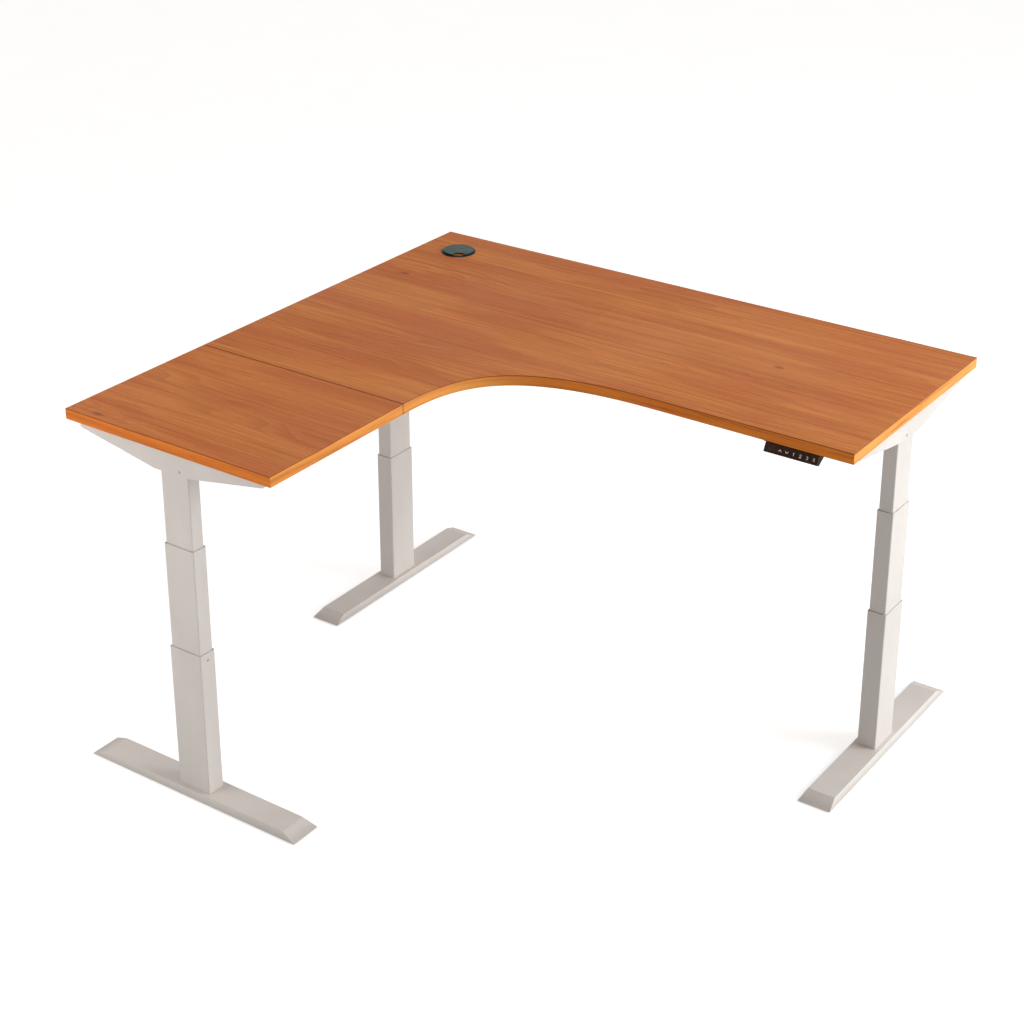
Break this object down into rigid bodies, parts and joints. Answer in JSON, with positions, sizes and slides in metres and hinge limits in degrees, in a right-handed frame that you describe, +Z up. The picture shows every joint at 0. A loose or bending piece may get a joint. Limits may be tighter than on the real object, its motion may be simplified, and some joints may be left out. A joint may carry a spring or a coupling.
{
  "type": "height adjustable desk",
  "caption": "L-shaped electric sit-stand corner desk: wood-finish top with a curved inner corner on telescopic steel legs, with handset, cable grommet and sloped feet.",
  "frame": {"origin": "on the floor under the middle of the desk's rectangular outline", "axes": "+X along the long back edge away from the return panel, +Y towards the back edge, +Z up"},
  "size_m": [1.539, 1.418, 0.9107],
  "materials": {
    "wood_top": "satin cherry-coloured wood grain laminate",
    "powder_coat": "fine textured warm light grey powder coat",
    "zinc_steel": "zinc plated",
    "screw_steel": "oiled rolled thread steel",
    "grommet_plastic": "matte dark green-black moulded plastic",
    "box_plastic": "matte black",
    "circuit_board": "green circuit board",
    "socket_plastic": "black moulded plastic",
    "handset_plastic": "matte dark brown",
    "handset_face": "satin dark brown face",
    "button_plastic": "satin dark brown with white symbols",
    "gear_housing": "die cast",
    "motor_black": "black painted steel can",
    "glide_plastic": "matte black"
  },
  "bodies": {
    "corner_leg_base": {"corner_foot": "powder_coat", "corner_foot_bolts": "zinc_steel", "corner_outer_tube": "powder_coat", "corner_hollow_screw": "screw_steel"},
    "corner_mid_stage": {"corner_mid_tube": "powder_coat", "corner_nut_carrier": "screw_steel"},
    "desktop": {"main_top": "wood_top", "return_top": "wood_top", "seam_plates": "zinc_steel", "wood_screws": "zinc_steel", "grommet_liner": "grommet_plastic", "main_rails": "powder_coat", "return_rails": "powder_coat", "frame_bolts": "zinc_steel", "control_box_base": "box_plastic", "control_box_cover": "box_plastic", "control_box_board": "circuit_board", "control_box_sockets": "socket_plastic", "handset_housing": "handset_plastic", "handset_face": "handset_face", "left_bracket": "powder_coat", "left_gearbox": "gear_housing", "left_motor": "motor_black", "left_inner_tube": "powder_coat", "corner_bracket": "powder_coat", "corner_gearbox": "gear_housing", "corner_motor": "motor_black", "corner_inner_tube": "powder_coat", "right_bracket": "powder_coat", "right_gearbox": "gear_housing", "right_motor": "motor_black", "right_inner_tube": "powder_coat"},
    "left_leg_base": {"left_foot": "powder_coat", "left_foot_bolts": "zinc_steel", "left_outer_tube": "powder_coat", "left_hollow_screw": "screw_steel"},
    "left_mid_stage": {"left_mid_tube": "powder_coat", "left_nut_carrier": "screw_steel"},
    "right_leg_base": {"right_foot": "powder_coat", "right_foot_bolts": "zinc_steel", "right_outer_tube": "powder_coat", "right_hollow_screw": "screw_steel"},
    "right_mid_stage": {"right_mid_tube": "powder_coat", "right_nut_carrier": "screw_steel"},
    "left_drive_screw": {"left_drive_screw": "screw_steel"},
    "corner_drive_screw": {"corner_drive_screw": "screw_steel"},
    "right_drive_screw": {"right_drive_screw": "screw_steel"},
    "grommet_cap": {"grommet_cap": "grommet_plastic"},
    "button_up": {"button_up": "button_plastic"},
    "button_down": {"button_down": "button_plastic"},
    "button_preset_1": {"button_preset_1": "button_plastic"},
    "button_preset_2": {"button_preset_2": "button_plastic"},
    "button_preset_3": {"button_preset_3": "button_plastic"},
    "button_save": {"button_save": "button_plastic"},
    "left_foot_glide_left": {"left_foot_glide_left": "glide_plastic"},
    "left_foot_glide_right": {"left_foot_glide_right": "glide_plastic"},
    "corner_foot_glide_back": {"corner_foot_glide_back": "glide_plastic"},
    "corner_foot_glide_front": {"corner_foot_glide_front": "glide_plastic"},
    "right_foot_glide_front": {"right_foot_glide_front": "glide_plastic"},
    "right_foot_glide_back": {"right_foot_glide_back": "glide_plastic"}
  },
  "joints": [
    {"name": "desk_lift", "type": "slide", "parent": "corner_leg_base", "child": "desktop", "axis": [0, 0, 1], "range_m": [-0.33, 0.24]},
    {"name": "corner_mid_slide", "type": "slide", "parent": "corner_leg_base", "child": "corner_mid_stage", "axis": [0, 0, 1], "range_m": [-0.165, 0.12]},
    {"name": "left_leg_slide", "type": "slide", "parent": "desktop", "child": "left_leg_base", "axis": [0, 0, 1], "range_m": [-0.24, 0.33]},
    {"name": "left_mid_slide", "type": "slide", "parent": "desktop", "child": "left_mid_stage", "axis": [0, 0, 1], "range_m": [-0.12, 0.165]},
    {"name": "right_leg_slide", "type": "slide", "parent": "desktop", "child": "right_leg_base", "axis": [0, 0, 1], "range_m": [-0.24, 0.33]},
    {"name": "right_mid_slide", "type": "slide", "parent": "desktop", "child": "right_mid_stage", "axis": [0, 0, 1], "range_m": [-0.12, 0.165]},
    {"name": "left_screw_turn", "type": "hinge", "parent": "desktop", "child": "left_drive_screw", "pos_m": [-0.4575, -0.668, 0.6], "axis": [0, 0, 1], "continuous": true},
    {"name": "corner_screw_turn", "type": "hinge", "parent": "desktop", "child": "corner_drive_screw", "pos_m": [-0.7135, 0.392, 0.6], "axis": [0, 0, 1], "continuous": true},
    {"name": "right_screw_turn", "type": "hinge", "parent": "desktop", "child": "right_drive_screw", "pos_m": [0.7285, 0.392, 0.6], "axis": [0, 0, 1], "continuous": true},
    {"name": "grommet_cap_turn", "type": "hinge", "parent": "desktop", "child": "grommet_cap", "pos_m": [-0.6425, 0.594, 0.905], "axis": [0, 0, 1], "continuous": true},
    {"name": "button_up_press", "type": "slide", "parent": "desktop", "child": "button_up", "axis": [0, 0.8896, -0.4568], "range_m": [0, 0.0006], "stiffness_N_per_m": 1500},
    {"name": "button_down_press", "type": "slide", "parent": "desktop", "child": "button_down", "axis": [0, 0.8896, -0.4568], "range_m": [0, 0.0006], "stiffness_N_per_m": 1500},
    {"name": "button_preset_1_press", "type": "slide", "parent": "desktop", "child": "button_preset_1", "axis": [0, 0.8896, -0.4568], "range_m": [0, 0.0006], "stiffness_N_per_m": 1500},
    {"name": "button_preset_2_press", "type": "slide", "parent": "desktop", "child": "button_preset_2", "axis": [0, 0.8896, -0.4568], "range_m": [0, 0.0006], "stiffness_N_per_m": 1500},
    {"name": "button_preset_3_press", "type": "slide", "parent": "desktop", "child": "button_preset_3", "axis": [0, 0.8896, -0.4568], "range_m": [0, 0.0006], "stiffness_N_per_m": 1500},
    {"name": "button_save_press", "type": "slide", "parent": "desktop", "child": "button_save", "axis": [0, 0.8896, -0.4568], "range_m": [0, 0.0006], "stiffness_N_per_m": 1500},
    {"name": "left_foot_glide_left_adjust", "type": "slide", "parent": "left_leg_base", "child": "left_foot_glide_left", "axis": [0, 0, -1], "range_m": [0, 0.006]},
    {"name": "left_foot_glide_right_adjust", "type": "slide", "parent": "left_leg_base", "child": "left_foot_glide_right", "axis": [0, 0, -1], "range_m": [0, 0.006]},
    {"name": "corner_foot_glide_back_adjust", "type": "slide", "parent": "corner_leg_base", "child": "corner_foot_glide_back", "axis": [0, 0, -1], "range_m": [0, 0.006]},
    {"name": "corner_foot_glide_front_adjust", "type": "slide", "parent": "corner_leg_base", "child": "corner_foot_glide_front", "axis": [0, 0, -1], "range_m": [0, 0.006]},
    {"name": "right_foot_glide_front_adjust", "type": "slide", "parent": "right_leg_base", "child": "right_foot_glide_front", "axis": [0, 0, -1], "range_m": [0, 0.006]},
    {"name": "right_foot_glide_back_adjust", "type": "slide", "parent": "right_leg_base", "child": "right_foot_glide_back", "axis": [0, 0, -1], "range_m": [0, 0.006]}
  ],
  "couplings": [
    {"joint": "corner_mid_slide", "follows": "desk_lift", "ratio": 0.5},
    {"joint": "left_leg_slide", "follows": "desk_lift", "ratio": -1},
    {"joint": "left_mid_slide", "follows": "desk_lift", "ratio": -0.5},
    {"joint": "right_leg_slide", "follows": "desk_lift", "ratio": -1},
    {"joint": "right_mid_slide", "follows": "desk_lift", "ratio": -0.5},
    {"joint": "left_screw_turn", "follows": "desk_lift", "rad_per_m": 392.7},
    {"joint": "corner_screw_turn", "follows": "desk_lift", "rad_per_m": 392.7},
    {"joint": "right_screw_turn", "follows": "desk_lift", "rad_per_m": 392.7}
  ]
}
